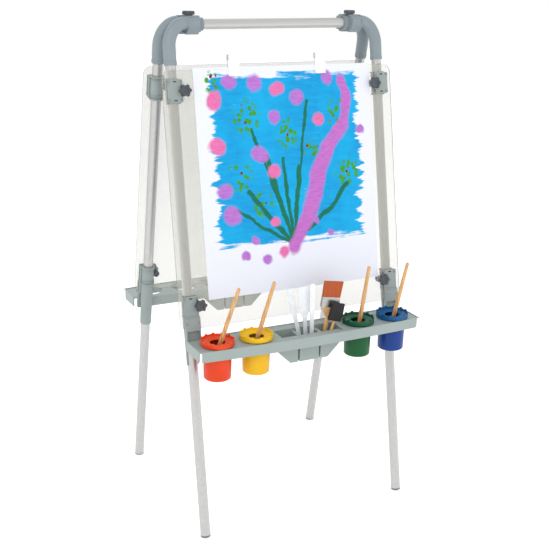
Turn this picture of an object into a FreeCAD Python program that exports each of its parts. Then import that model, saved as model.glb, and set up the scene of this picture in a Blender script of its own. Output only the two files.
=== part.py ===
import FreeCAD, Part
import math
import os
import Sketcher
from FreeCAD import Vector as V, Placement, Rotation

# Double-sided children's easel. Millimetres, +Z up, origin on the floor under
# the middle of the crossbar. The front side faces -Y. The rear side is the same
# set of mouldings turned half a turn about Z.

os.makedirs("parts", exist_ok=True)
doc = FreeCAD.newDocument("kids_easel")

# ---------------------------------------------------------------- dimensions
dims = doc.addObject("Spreadsheet::Sheet", "dims")
ROWS = [
    ("bar_height", 1260.0, "crossbar axis above the floor"),
    ("leg_angle", 10.4, "each leg from the vertical, open, degrees"),
    ("leg_offset", 17.0, "tube axis to fold plane"),
    ("inner_leg_x", 285.5, "leg on the inner knuckle"),
    ("outer_leg_x", 292.5, "leg on the outer knuckle"),
    ("tube_r", 12.7, "tube outer radius"),
    ("tube_wall", 1.4, "tube wall"),
    ("tube_top", 60.0, "top of leg tube below the crossbar axis"),
    ("bar_length", 476.0, "crossbar length"),
    ("elbow_r", 15.5, "elbow outer radius"),
    ("elbow_bend", 45.0, "elbow centre line, half axis across"),
    ("elbow_drop", 58.0, "elbow centre line, half axis downwards"),
    ("elbow_bottom", 98.0, "elbow end below the crossbar axis"),
    ("knuckle_r", 18.4, "full ring of a knuckle, outer radius"),
    ("cap_height", 5.0, "foot plug cap"),
    ("foot_round", 3.0, "rounding of the foot plug cap"),
    ("foot_flat", 2.2, "how deep the floor plane cuts the tilted cap"),
    ("fold_angle", 19.3, "rear frame travel from open to folded, degrees"),
    ("seam_gap", 0.2, "each hinge half from the fold plane"),
    ("hinge_knob_x", 225.0, "lock knob from the middle of the crossbar"),
    ("spigot_r", 11.2, "foot plug spigot radius"),
    ("spigot_length", 26.0, "foot plug spigot"),
    ("panel_width", 640.0, "clear panel"),
    ("panel_height", 630.0, "clear panel"),
    ("panel_thick", 3.0, "clear panel"),
    ("panel_corner", 22.0, "clear panel corner radius"),
    ("panel_top", 110.0, "panel top edge below the crossbar axis"),
    ("panel_gap", 0.3, "panel to tube"),
    ("plate_width", 38.0, "clamp plate"),
    ("plate_height", 54.0, "clamp plate"),
    ("plate_thick", 4.0, "clamp plate"),
    ("ear_r", 10.5, "clamp ear radius"),
    ("ear_x", 23.0, "knob axis from tube axis"),
    ("stud_r", 3.0, "knob stud radius"),
    ("screw_x", 16.0, "corner screws from tube axis"),
    ("screw_z", 21.5, "corner screws from clamp middle"),
    ("screw_r", 1.6, "corner screw radius"),
    ("clamp_mid", 159.5, "top clamp middle below the crossbar axis"),
    ("bracket_mid", 682.0, "tray clamp middle below the crossbar axis"),
    ("knob_r", 15.5, "star knob radius"),
    ("knob_head", 11.0, "star knob head thickness"),
    ("knob_neck_r", 8.8, "star knob neck radius"),
    ("knob_neck", 2.0, "star knob neck length"),
    ("tray_width", 628.0, "tray"),
    ("tray_depth", 110.0, "tray at its middle"),
    ("tray_side", 98.0, "tray at its ends"),
    ("tray_skirt", 25.0, "tray skirt height"),
    ("tray_wall", 3.0, "tray wall"),
    ("tray_top", 514.0, "tray top above the floor"),
    ("tray_back", 170.0, "tray back edge from the middle"),
    ("rim_height", 1.6, "raised bead round the tray"),
    ("cup_hole_r", 36.6, "cup hole radius"),
    ("cup_in_x", 147.0, "inner cups from tray middle"),
    ("cup_out_x", 252.0, "outer cups from tray middle"),
    ("cup_y", 59.5, "cup axis from tray back edge"),
    ("trough_width", 172.0, "trough opening"),
    ("trough_depth", 62.0, "trough opening front to back"),
    ("trough_back", 31.0, "trough back edge from the tray back edge"),
    ("pocket_reach", 36.0, "pocket front to back"),
    ("pocket_gap", 9.0, "between two pockets"),
    ("pocket_drop", 78.0, "pocket bottom below the tray top"),
    ("cup_r", 35.6, "cup body radius at the top"),
    ("cup_base_r", 34.0, "cup body radius at the bottom"),
    ("cup_height", 86.0, "cup body below its flange"),
    ("cup_wall", 1.8, "cup wall"),
    ("lid_r", 42.0, "lid radius"),
    ("paper_width", 494.0, "paper"),
    ("paper_height", 566.0, "paper"),
    ("paper_thick", 0.4, "paper"),
    ("clip_width", 29.0, "spring clip"),
]
for i, (alias, value, note) in enumerate(ROWS, start=1):
    dims.set("A%d" % i, alias)
    dims.set("B%d" % i, repr(value))
    dims.setAlias("B%d" % i, alias)
    dims.set("C%d" % i, note)
doc.recompute()
D = {alias: float(dims.get(alias)) for alias, _, _ in ROWS}

TH = math.radians(D["leg_angle"])
SIN, COS = math.sin(TH), math.cos(TH)
H = D["bar_height"]
OFF = D["leg_offset"]
TILT = Rotation(V(1, 0, 0), -D["leg_angle"])
HALF = Rotation(V(0, 0, 1), 180)
OUT = Rotation(V(1, 0, 0), 90)          # plate coordinates: X across, Y up, Z outward

# side placements: "leg" follows the tilted legs, "hub" stays upright
SIDES = {
    "front": {"leg": Placement(V(0, 0, H), TILT), "hub": Placement(V(0, 0, H), Rotation())},
    "rear": {"leg": Placement(V(0, 0, H), HALF.multiply(TILT)), "hub": Placement(V(0, 0, H), HALF)},
}
# the inner knuckle sits at -X of its own side, the outer one at +X
INNER_X, OUTER_X = -D["inner_leg_x"], D["outer_leg_x"]
PANEL_Y = -(OFF + D["tube_r"] + D["panel_gap"])       # back face of the panel, local
PANEL_X = (INNER_X + OUTER_X) / 2.0
TRAY_X = 6.5
nodes = []


def names(side):
    """World side name of the inner (-X local) and outer (+X local) corner."""
    return ("left", "right") if side == "front" else ("right", "left")


def node(obj, label):
    obj.Label = label
    nodes.append((label, obj))
    return obj


def mul(a, b):
    return a.multiply(b)


# ------------------------------------------------------------------- helpers
def plane(body, role):
    return [f for f in body.Origin.OriginFeatures if f.Role == role][0]


def new_body(name):
    return doc.addObject("PartDesign::Body", name)


def sketch(body, name, role="XY_Plane", offset=0.0):
    sk = body.newObject("Sketcher::SketchObject", name)
    sk.AttachmentSupport = [(plane(body, role), "")]
    sk.MapMode = "FlatFace"
    if offset:
        sk.AttachmentOffset = Placement(V(0, 0, offset), Rotation())
    return sk


def bind(sk, index, label, expr):
    sk.renameConstraint(index, label)
    sk.setExpression("Constraints." + label, expr)


def circle(sk, x, y, r, expr=None, tag="r"):
    g = sk.addGeometry(Part.Circle(V(x, y, 0), V(0, 0, 1), r), False)
    if abs(x) < 1e-9 and abs(y) < 1e-9:
        sk.addConstraint(Sketcher.Constraint("Coincident", g, 3, -1, 1))
    else:
        sk.addConstraint(Sketcher.Constraint("DistanceX", -1, 1, g, 3, x))
        sk.addConstraint(Sketcher.Constraint("DistanceY", -1, 1, g, 3, y))
    c = sk.addConstraint(Sketcher.Constraint("Radius", g, r))
    if expr:
        bind(sk, c, tag, expr)
    return g


def rect(sk, x0, y0, x1, y1, w_expr=None, h_expr=None, tag="q"):
    """Rectangle fixed by its lower left corner, its width and its height."""
    p = [V(x0, y0, 0), V(x1, y0, 0), V(x1, y1, 0), V(x0, y1, 0)]
    g = [sk.addGeometry(Part.LineSegment(p[i], p[(i + 1) % 4]), False) for i in range(4)]
    for i in range(4):
        sk.addConstraint(Sketcher.Constraint("Coincident", g[i], 2, g[(i + 1) % 4], 1))
    for i, kind in enumerate(("Horizontal", "Vertical", "Horizontal", "Vertical")):
        sk.addConstraint(Sketcher.Constraint(kind, g[i]))
    w = sk.addConstraint(Sketcher.Constraint("DistanceX", g[0], 1, g[0], 2, x1 - x0))
    h = sk.addConstraint(Sketcher.Constraint("DistanceY", g[1], 1, g[1], 2, y1 - y0))
    cx = sk.addConstraint(Sketcher.Constraint("DistanceX", -1, 1, g[0], 1, x0))
    cy = sk.addConstraint(Sketcher.Constraint("DistanceY", -1, 1, g[0], 1, y0))
    if w_expr:
        bind(sk, w, tag + "_w", w_expr)
        if abs(x0 + x1) < 1e-9:
            bind(sk, cx, tag + "_x", "-(%s) / 2" % w_expr)
    if h_expr:
        bind(sk, h, tag + "_h", h_expr)
        if abs(y0 + y1) < 1e-9:
            bind(sk, cy, tag + "_y", "-(%s) / 2" % h_expr)
    return g


def polygon(sk, pts):
    g = [sk.addGeometry(Part.LineSegment(V(a[0], a[1], 0), V(b[0], b[1], 0)), False)
         for a, b in zip(pts, pts[1:] + pts[:1])]
    n = len(g)
    for i in range(n):
        sk.addConstraint(Sketcher.Constraint("Coincident", g[i], 2, g[(i + 1) % n], 1))
    for i, a in enumerate(pts):
        for kind, value, axis in (("DistanceX", a[0], -2), ("DistanceY", a[1], -1)):
            if abs(value) < 1e-9:
                sk.addConstraint(Sketcher.Constraint("PointOnObject", g[i], 1, axis))
            else:
                sk.addConstraint(Sketcher.Constraint(kind, -1, 1, g[i], 1, value))
    return g


def pad(body, sk, length, expr=None, reverse=False, name="Pad"):
    f = body.newObject("PartDesign::Pad", name)
    f.Profile = sk
    f.Length = length
    f.Reversed = reverse
    if expr:
        f.setExpression("Length", expr)
    sk.Visibility = False
    return f


def pocket(body, sk, length, expr=None, reverse=False, name="Pocket", through=False):
    f = body.newObject("PartDesign::Pocket", name)
    f.Profile = sk
    if through:
        f.Type = 1
        f.Midplane = True
    else:
        f.Length = length
        f.Reversed = reverse
        if expr:
            f.setExpression("Length", expr)
    return f


def fillet(body, name, pick, radius, expr=None):
    """Round the edges of the current tip whose bounding box passes pick()."""
    doc.recompute()
    base = body.Tip
    ids = ["Edge%d" % i for i, e in enumerate(base.Shape.Edges, 1) if pick(e.BoundBox)]
    f = body.newObject("PartDesign::Fillet", name)
    f.Base = (base, ids)
    f.Radius = radius
    if expr:
        f.setExpression("Radius", expr)
    doc.recompute()
    return f


def compound(name, members, label):
    c = doc.addObject("Part::Compound", name)
    c.Links = members
    return node(c, label)


def feature(name, shape, placement, label=None):
    f = doc.addObject("Part::Feature", name)
    f.Shape = shape
    f.Placement = placement
    return node(f, label or name)


def cyl(r, length, base, axis):
    return Part.makeCylinder(r, length, base, axis)


def box(x0, x1, y0, y1, z0, z1):
    return Part.makeBox(x1 - x0, y1 - y0, z1 - z0, V(x0, y0, z0))


def prism(points, origin, span):
    """Polygon given as vectors, swept along the vector span."""
    w = Part.makePolygon([p for p in points] + [points[0]])
    s = Part.Face(w).extrude(span)
    s.translate(origin)
    return s


# ------------------------------------------------------------ frame: tubes
def tube_body(name, length_expr, length, axis_role="XY_Plane"):
    b = new_body(name)
    sk = sketch(b, name + "_ring", axis_role)
    circle(sk, 0, 0, D["tube_r"], "dims.tube_r", "outer")
    circle(sk, 0, 0, D["tube_r"] - D["tube_wall"], "dims.tube_r - dims.tube_wall", "inner")
    pad(b, sk, length, length_expr, name=name + "_pad")
    return b


# crossbar: its axis is X; the two insert holes face straight up
bar = tube_body("crossbar_tube", "dims.bar_length", D["bar_length"])
KNOB_X = D["hinge_knob_x"]
sk = sketch(bar, "insert_holes", "XZ_Plane")
for s in (-1, 1):
    circle(sk, 0, D["bar_length"] / 2 + s * KNOB_X, 4.5, None)
doc.recompute()
bar.Tip.Refine = True
holes = bar.newObject("PartDesign::Pocket", "insert_pocket")
holes.Profile = sk
holes.Length = 20.0
doc.recompute()
v0 = bar.Tip.Shape.Volume
if abs(v0 - math.pi * (D["tube_r"] ** 2 - (D["tube_r"] - D["tube_wall"]) ** 2) * D["bar_length"]) < 1:
    holes.Reversed = True
    doc.recompute()
# turn the pad direction (+Z) onto +X and the pocketed side onto +Z
side_probe = bar.Tip.Shape.copy()
side_probe.Placement = Placement()
on_plus = side_probe.common(box(-2, 2, 5, 20, 0, 476)).Volume
on_minus = side_probe.common(box(-2, 2, -20, -5, 0, 476)).Volume
up_local = V(0, 1, 0) if on_plus < on_minus else V(0, -1, 0)
# build the rotation from its axes: local Z -> X, local up -> Z
if up_local.y > 0:
    rot = Rotation(V(0, 1, 0), V(0, 0, 1), V(1, 0, 0), "ZXY")
else:
    rot = Rotation(V(0, -1, 0), V(0, 0, -1), V(1, 0, 0), "ZXY")
bar.Placement = Placement(V(-D["bar_length"] / 2, 0, H), rot)
node(bar, "crossbar_tube")

FR = D["foot_round"]
# foot plug bottom along the leg; the floor plane trims its lower edge flat
LEG_END = FR + (H + (OFF - D["tube_r"] + FR) * SIN - FR + D["foot_flat"]) / COS
floor_cut = doc.addObject("Part::Box", "floor_cut")
floor_cut.Length, floor_cut.Width, floor_cut.Height = 800, 800, 50
floor_cut.Placement = Placement(V(-400, -400, -50), Rotation())
CAP = D["cap_height"]
for side in ("front", "rear"):
    pl = SIDES[side]["leg"]
    plugs = []
    for tag, x in zip(names(side), (INNER_X, OUTER_X)):
        n = "%s_%s_leg_tube" % (side, tag)
        length = LEG_END - CAP - D["tube_top"]
        leg = tube_body(n, None, length)
        leg.getObject(n + "_pad").Reversed = True
        leg.getObject(n + "_pad").setExpression(
            "Length",
            "dims.foot_round + (dims.bar_height + (dims.leg_offset - dims.tube_r + dims.foot_round)"
            " * sin(dims.leg_angle * 1 deg) - dims.foot_round + dims.foot_flat) / cos(dims.leg_angle * 1 deg)"
            " - dims.cap_height - dims.tube_top")
        leg.Placement = mul(pl, Placement(V(x, -OFF, -D["tube_top"]), Rotation()))
        node(leg, n)
        b = new_body("%s_%s_foot_plug" % (side, tag))
        s1 = sketch(b, b.Name + "_cap")
        circle(s1, 0, 0, D["tube_r"], "dims.tube_r", "cap")
        pad(b, s1, CAP, "dims.cap_height", True, b.Name + "_cap_pad")
        s2 = sketch(b, b.Name + "_spigot")
        circle(s2, 0, 0, D["spigot_r"], "dims.spigot_r", "spigot")
        pad(b, s2, D["spigot_length"], "dims.spigot_length", False, b.Name + "_spigot_pad")
        fillet(b, b.Name + "_round", lambda q: abs(q.ZMax + CAP) < 1e-4 and abs(q.ZMin + CAP) < 1e-4, FR, "dims.foot_round")
        b.Placement = mul(pl, Placement(V(x, -OFF, -(LEG_END - CAP)), Rotation()))
        cut = doc.addObject("Part::Cut", b.Name + "_trimmed")
        cut.Base = b
        cut.Tool = floor_cut
        plugs.append(cut)
    compound(side + "_foot_plugs_group", plugs, side + "_foot_plugs")

# threaded inserts in the crossbar wall, under the two lock knobs
ins = []
for s in (-1, 1):
    b = new_body("crossbar_insert_%d" % (s + 1))
    s1 = sketch(b, b.Name + "_ring")
    circle(s1, 0, 0, 4.48, None)
    circle(s1, 0, 0, D["stud_r"] + 0.05, "dims.stud_r + 0.05", "bore")
    pad(b, s1, 9.0, None, False, b.Name + "_pad")
    b.Placement = Placement(V(s * KNOB_X, 0, H + 2.6), Rotation())
    ins.append(b)
compound("crossbar_inserts_group", ins, "crossbar_inserts")


# ----------------------------------------------------------- frame: elbows
FOLD = D["fold_angle"]
GAP = D["seam_gap"]


def hub_profile():
    """Half knuckle housing in its own side's upright (y, z) section. Above the
    axis it meets the other half when the easel is open; below the axis it is
    cut back, so the halves meet there when the easel is folded."""
    low = GAP + 23.0 * math.tan(math.radians(FOLD / 2))
    return [(-GAP, 0.0), (-GAP, 21.0), (-17.0, 21.0), (-18.5, 17.5), (-27.0, 16.0),
            (-31.5, 12.0), (-31.5, -8.0), (-19.0, -23.0), (-low, -23.0)]


def hub_block(x0, x1):
    return prism([V(x0, y, z) for y, z in hub_profile()], V(0, 0, 0), V(x1 - x0, 0, 0))


def arm(x_start, x_leg):
    """Smooth pipe from the knuckle out, round a quarter bend and down the leg."""
    sgn = 1.0 if x_leg > 0 else -1.0
    r, R, RV = D["elbow_r"], D["elbow_bend"], D["elbow_drop"]
    zc = 1.0
    xb = x_leg - sgn * R
    parts = []
    if abs(xb - x_start) > 0.01:
        parts.append(cyl(r, abs(xb - x_start) + 0.0, V(min(xb, x_start), -OFF, zc), V(1, 0, 0)))
    bend = Part.Ellipse(V(xb, -OFF, zc), V(xb + sgn * R, -OFF, zc - RV), V(xb, -OFF, zc - RV))
    path = Part.Wire([Part.ArcOfEllipse(bend, 0.0, math.pi / 2).toShape()])
    prof = Part.Wire([Part.Circle(V(xb, -OFF, zc), V(1, 0, 0), r).toShape()])
    parts.append(path.makePipeShell([prof], True, False))
    parts.append(cyl(r, D["elbow_bottom"] - 4 - (RV - zc), V(x_leg, -OFF, zc - RV), V(0, 0, -1)))
    parts.append(cyl(r + 0.6, 8.0, V(x_leg, -OFF, -D["elbow_bottom"]), V(0, 0, 1)))
    s = parts[0].multiFuse(parts[1:])
    s = s.removeSplitter()
    bore = cyl(D["tube_r"] + 0.02, D["elbow_bottom"] - D["tube_top"] + 0.5, V(x_leg, -OFF, -D["elbow_bottom"] - 0.5), V(0, 0, 1))
    core = cyl(D["tube_r"] - 2.0, 10.0, V(x_leg, -OFF, -D["tube_top"] - 0.01), V(0, 0, 1))
    return s.cut(bore).cut(core)


def to_hub(shape):
    """From leg coordinates into the upright hub coordinates."""
    s = shape.copy()
    s.rotate(V(0, 0, 0), V(1, 0, 0), -D["leg_angle"])
    return s


def slot_cutter(x, a0, a1, r0, r1, half):
    """Room for the stud, which leans towards +Y in the knuckle as it turns."""
    cut = []
    n = 6
    for k in range(n + 1):
        a = math.radians(a0 + (a1 - a0) * k / n)
        cut.append(cyl(half, r1 - r0, V(x, r0 * math.sin(a), r0 * math.cos(a)), V(0, math.sin(a), math.cos(a))))
    return cut[0].multiFuse(cut[1:])


fit = 0.05
TR = D["tube_r"]
KR = D["knuckle_r"]


def inner_elbow():
    """Inner knuckle, at -X: open half housing and end step inboard, ring outboard."""
    s = hub_block(-237.0, -203.0)
    step = cyl(16.0, 13.5, V(-203.5, 0, 0), V(1, 0, 0)).common(
        prism([V(-204, -GAP, 0), V(-204, -GAP, 30), V(-204, -30, 30), V(-204, -30, -30),
               V(-204, -GAP - 30 * math.tan(math.radians(FOLD / 2)), -30)], V(0, 0, 0), V(15, 0, 0)))
    ring = cyl(KR, 16.6, V(-237.0, 0, 0), V(1, 0, 0))
    a = to_hub(arm(-236.0, INNER_X))
    collar = to_hub(cyl(16.2, 3.0, V(-239.0, -OFF, 1.0), V(1, 0, 0)))
    s = s.multiFuse([step, ring, a, collar])
    s = s.cut(cyl(TR + fit, 60.0, V(-238.4, 0, 0), V(1, 0, 0)))
    # room for the other elbow's ring inside the open half
    s = s.cut(cyl(KR + 0.4, 14.7, V(-218.6, 0, 0), V(1, 0, 0)))
    s = s.cut(cyl(3.5, 40.0, V(-KNOB_X, 0, 0), V(0, 0, 1)))
    s = s.cut(slot_cutter(-KNOB_X, -4.0, FOLD + 4.0, 11.0, 22.0, 3.6))
    # moulded steps along the front and lower faces of the housing
    s = s.cut(box(-235.0, -206.5, -40, -30.9, -6.0, 12.0))
    s = s.cut(box(-207.0, -202.9, -40, -27.0, -30.0, 30.0))
    s = s.cut(prism([V(-207.0, -31.5, -8.0), V(-202.9, -31.5, -8.0), V(-202.9, -31.5, -30.0), V(-207.0, -31.5, -30.0)], V(0, 0, 0), V(0, 31.3, 0)).common(
        box(-207.0, -202.9, -40, 0, -30, -17.5)))
    return s


def outer_elbow():
    """Outer knuckle, at +X: full ring inboard, half housing outboard of it."""
    s = hub_block(217.8, 247.0)
    ring = cyl(KR, 13.7, V(204.5, 0, 0), V(1, 0, 0))
    s = s.fuse(ring)
    # room for the other elbow's ring inside the half housing
    s = s.cut(cyl(KR + 0.4, 17.6, V(219.8, 0, 0), V(1, 0, 0)))
    a = to_hub(arm(246.0, OUTER_X))
    collar = to_hub(cyl(16.3, 3.0, V(245.6, -OFF, 1.0), V(1, 0, 0)))
    s = s.multiFuse([a, collar])
    s = s.cut(cyl(TR + fit, 40.0, V(198.4, 0, 0), V(1, 0, 0)))
    s = s.cut(cyl(3.5, 40.0, V(KNOB_X, 0, 0), V(0, 0, 1)))
    s = s.cut(box(220.0, 244.5, -40, -30.9, -6.0, 12.0))
    return s


def clean(s):
    s = s.removeSplitter()
    sol = sorted(s.Solids, key=lambda q: -q.Volume)
    return sol[0] if sol else s


EL_IN = clean(inner_elbow())
EL_OUT = clean(outer_elbow())
for side in ("front", "rear"):
    pl = SIDES[side]["hub"]
    a, b = names(side)
    feature("%s_%s_elbow" % (side, a), EL_IN, pl)
    feature("%s_%s_elbow" % (side, b), EL_OUT, pl)


# -------------------------------------------------------------- star knobs
def star_knob(name, stud_length, placement):
    """Head with six lobes on a round neck; steel stud moulded in. Stud tip at
    the low end, neck foot at Z = 0, head on top."""
    b = new_body(name)
    neck = sketch(b, name + "_neck")
    circle(neck, 0, 0, D["knob_neck_r"], "dims.knob_neck_r", "neck")
    pad(b, neck, D["knob_neck"] + 0.5, "dims.knob_neck + 0.5", False, name + "_neck_pad")
    head = sketch(b, name + "_head", "XY_Plane", D["knob_neck"])
    circle(head, 0, 0, D["knob_r"], "dims.knob_r", "head")
    hp = pad(b, head, D["knob_head"], "dims.knob_head", False, name + "_head_pad")
    stud = sketch(b, name + "_stud")
    circle(stud, 0, 0, D["stud_r"], "dims.stud_r", "stud")
    pad(b, stud, stud_length, None, True, name + "_stud_pad")
    zt = D["knob_neck"] + D["knob_head"]
    fillet(b, name + "_round", lambda q: abs(q.ZMax - zt) < 1e-4 and abs(q.ZMin - zt) < 1e-4, 3.0)
    notch = sketch(b, name + "_notch", "XY_Plane", D["knob_neck"] - 0.5)
    circle(notch, (D["knob_r"] + 3.6) * math.cos(math.pi / 6), (D["knob_r"] + 3.6) * math.sin(math.pi / 6), 7.4)
    cut = pocket(b, notch, D["knob_head"] + 2.0, None, True, name + "_notch_cut")
    doc.recompute()
    pat = b.newObject("PartDesign::PolarPattern", name + "_lobes")
    pat.Originals = [cut]
    pat.Axis = (plane(b, "Z_Axis"), [""])
    pat.Angle = 360
    pat.Occurrences = 6
    b.Tip = pat
    doc.recompute()
    dish = sketch(b, name + "_dish", "XY_Plane", D["knob_neck"] + D["knob_head"])
    circle(dish, 0, 0, 6.5)
    pocket(b, dish, 1.2, None, False, name + "_dish_cut")
    b.Placement = placement
    return b


for s, n in ((-1, "left_hinge_knob"), (1, "right_hinge_knob")):
    k = new_body(n)
    neck = sketch(k, n + "_neck")
    circle(neck, 0, 0, 10.0)
    pad(k, neck, 2.0, None, False, n + "_neck_pad")
    head = sketch(k, n + "_head", "XY_Plane", 1.5)
    circle(head, 0, 0, D["knob_r"], "dims.knob_r", "head")
    pad(k, head, 8.5, None, False, n + "_head_pad")
    stud = sketch(k, n + "_stud")
    circle(stud, 0, 0, D["stud_r"], "dims.stud_r", "stud")
    pad(k, stud, 15.5, None, True, n + "_stud_pad")
    fillet(k, n + "_round", lambda q: abs(q.ZMax - 10.0) < 1e-4 and abs(q.ZMin - 10.0) < 1e-4, 2.5)
    notch = sketch(k, n + "_notch", "XY_Plane", 1.0)
    circle(notch, (D["knob_r"] + 3.6) * math.cos(math.pi / 6), (D["knob_r"] + 3.6) * math.sin(math.pi / 6), 7.4)
    cut = pocket(k, notch, 12.0, None, True, n + "_notch_cut")
    doc.recompute()
    pat = k.newObject("PartDesign::PolarPattern", n + "_lobes")
    pat.Originals = [cut]
    pat.Axis = (plane(k, "Z_Axis"), [""])
    pat.Angle = 360
    pat.Occurrences = 6
    k.Tip = pat
    k.Placement = Placement(V(s * KNOB_X, 0, H + 21.3), Rotation())
    node(k, n)


# ---------------------------------------------------------- boards: clamps
EAR = D["ear_x"]
STACK = PANEL_Y - D["panel_thick"]            # front face of the panel, local y


def clamp_plate(name, placement):
    """Flat outer half of a top clamp; ear towards +X."""
    b = new_body(name)
    s1 = sketch(b, name + "_outline")
    rect(s1, -D["plate_width"] / 2, -D["plate_height"] / 2, D["plate_width"] / 2, D["plate_height"] / 2,
         "dims.plate_width", "dims.plate_height")
    pad(b, s1, D["plate_thick"], "dims.plate_thick", False, name + "_pad")
    fillet(b, name + "_corners", lambda q: q.XLength < 1e-4 and q.YLength < 1e-4, 2.5)
    s2 = sketch(b, name + "_ear")
    circle(s2, EAR, 0, D["ear_r"], "dims.ear_r", "ear")
    pad(b, s2, D["plate_thick"], "dims.plate_thick", False, name + "_ear_pad")
    s3 = sketch(b, name + "_holes")
    circle(s3, EAR, 0, D["stud_r"] + 0.4, "dims.stud_r + 0.4", "stud_hole")
    for i, (sx, sy) in enumerate(((-1, -1), (1, -1), (-1, 1), (1, 1))):
        circle(s3, sx * D["screw_x"], sy * D["screw_z"], D["screw_r"], "dims.screw_r", "screw%s" % "abcd"[i])
    rect(s3, -4.5, 20.5, 4.5, 24.0)
    rect(s3, -4.5, -24.0, 4.5, -20.5)
    pocket(b, s3, 40, None, False, name + "_holes_cut", True)
    b.Placement = placement
    return b


def clamp_bore(z0, z1):
    return cyl(TR + 0.1, z1 - z0, V(0, 0, z0), V(0, 0, 1))


def clamp_shell(sgn):
    """Half-round inner half of a top clamp, in tube coordinates: tube axis on Z,
    +Y towards the middle of the easel, ear towards sgn * X."""
    hw, hh = D["plate_width"] / 2, 30.0
    face = -(TR + D["panel_gap"])
    s = box(-hw, hw, face, -3.0, -hh + 3, hh - 3)
    half = box(-30, 30, -6, 30, -50, 50)
    s = s.fuse(cyl(15.6, 2 * hh, V(0, 0, -hh), V(0, 0, 1)).common(half))
    for z, hgt, rr in ((-hh, 4.0, 18.2), (-hh + 8.5, 2.6, 17.2), (hh - 11.1, 2.6, 17.2), (hh - 4.0, 4.0, 18.2)):
        s = s.fuse(cyl(rr, hgt, V(0, 0, z), V(0, 0, 1)).common(half))
    ear = box(min(sgn * 12, sgn * EAR), max(sgn * 12, sgn * EAR), face, -9.0, -10, 10).fuse(
        cyl(10.0, -9.0 - face, V(sgn * EAR, face, 0), V(0, 1, 0)))
    s = s.fuse(ear)
    s = s.cut(cyl(8.8, 40.0, V(sgn * EAR, -9.0, 0), V(0, 1, 0)))      # room for the cap nut
    s = s.cut(clamp_bore(-hh - 1, hh + 1))
    s = s.cut(cyl(D["stud_r"] + 0.4, 30, V(sgn * EAR, face - 1, 0), V(0, 1, 0)))
    for sx in (-1, 1):
        for sz in (-1, 1):
            s = s.cut(cyl(D["screw_r"], 9.0, V(sx * D["screw_x"], face - 0.5, sz * D["screw_z"]), V(0, 1, 0)))
    return s.removeSplitter()


SLEEVE_LOW = -150.0


def bracket_sleeve(sgn):
    """Inner half of a tray bracket: clamp rims above, long tapered sleeve below."""
    hw = D["plate_width"] / 2
    face = -(TR + D["panel_gap"])
    up, low = 26.0, -58.0
    half = box(-30, 30, -4, 30, -200, 60)
    s = box(-hw, hw, face, -3.0, low, up - 2)
    cone = Part.makeCone(15.2, 16.6, up - SLEEVE_LOW, V(0, 0, SLEEVE_LOW), V(0, 0, 1)).common(half)
    s = s.fuse(cone)
    for z, hgt, rr in ((up - 4.0, 4.0, 18.2), (up - 13.0, 2.6, 17.6), (-18.0, 2.6, 17.6), (-27.0, 4.0, 18.2)):
        s = s.fuse(cyl(rr, hgt, V(0, 0, z), V(0, 0, 1)).common(half))
    ear = box(min(sgn * 12, sgn * EAR), max(sgn * 12, sgn * EAR), face, -9.0, -10, 10).fuse(
        cyl(10.0, -9.0 - face, V(sgn * EAR, face, 0), V(0, 1, 0)))
    s = s.fuse(ear)
    s = s.cut(cyl(8.8, 40.0, V(sgn * EAR, -9.0, 0), V(0, 1, 0)))      # room for the cap nut
    s = s.cut(clamp_bore(-210, up + 1))
    s = s.cut(cyl(D["stud_r"] + 0.4, 30, V(sgn * EAR, face - 1, 0), V(0, 1, 0)))
    for sx in (-1, 1):
        for z in (18.0, -42.0):
            s = s.cut(cyl(D["screw_r"], 9.0, V(sx * D["screw_x"], face - 0.5, z), V(0, 1, 0)))
    return s.removeSplitter()


PANEL_LOW = D["panel_top"] + D["panel_height"]         # panel bottom edge below the axis


def tray_bracket(sgn):
    """Outer half of a tray bracket: flat plate with knob ear, stepped block, and
    below the panel a U-shaped column with an open window down to the tray."""
    hw = D["plate_width"] / 2
    t0 = -(TR + D["panel_gap"]) - D["panel_thick"]       # panel front face
    t1 = t0 - D["plate_thick"]
    up = 24.0
    blk = -(PANEL_LOW - D["bracket_mid"]) - 3.0          # block bottom
    mid = -26.0
    s = box(-hw, hw, t1, t0, blk, up)
    s = s.fuse(box(-hw - 0.8, hw + 0.8, t1 - 2.6, t0, blk, mid))
    s = s.fuse(box(-hw - 0.8, hw + 0.8, t1 - 4.2, t0, blk, mid - 4.0))
    s = s.fuse(cyl(D["ear_r"], D["plate_thick"], V(sgn * EAR, t1, 0), V(0, 1, 0)))
    # column with its window
    low = -108.0
    back = -(TR + 0.3)
    col = box(-hw, hw, t1 - 4.2, back, low, blk)
    col = col.cut(box(-hw + 3, hw - 3, t1 - 5, back - 3.0, low - 1, blk - 0.0))
    s = s.fuse(col)
    s = s.fuse(box(-hw, hw, t1 - 4.2, back, low, low + 3))
    s = s.fuse(box(-hw, hw, t1 - 4.2, back, blk - 1.0, blk + 2.6))
    s = s.cut(cyl(D["stud_r"] + 0.4, 30, V(sgn * EAR, -40, 0), V(0, 1, 0)))
    for sx in (-1, 1):
        for z in (18.0, -42.0):
            s = s.cut(cyl(D["screw_r"], 40.0, V(sx * D["screw_x"], -45, z), V(0, 1, 0)))
            s = s.cut(cyl(3.3, 6.0, V(sx * D["screw_x"], t1 - 8.0, z), V(0, 1, 0))) if z < 0 else s
    s = s.cut(box(-4.5, 4.5, t1 - 1, t0 + 1, 17.0, 20.5))
    return s.removeSplitter()


def screw(x, y, z):
    """Pan-head screw, head outermost, pointing to +Y."""
    s = cyl(3.0, 1.8, V(x, y - 1.8, z), V(0, 1, 0))
    s = s.fuse(cyl(D["screw_r"], 14.5, V(x, y, z), V(0, 1, 0)))
    return s.cut(box(x - 2.2, x + 2.2, y - 2.0, y - 1.0, z - 0.4, z + 0.4)).cut(
        box(x - 0.4, x + 0.4, y - 2.0, y - 1.0, z - 2.2, z + 2.2))


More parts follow.
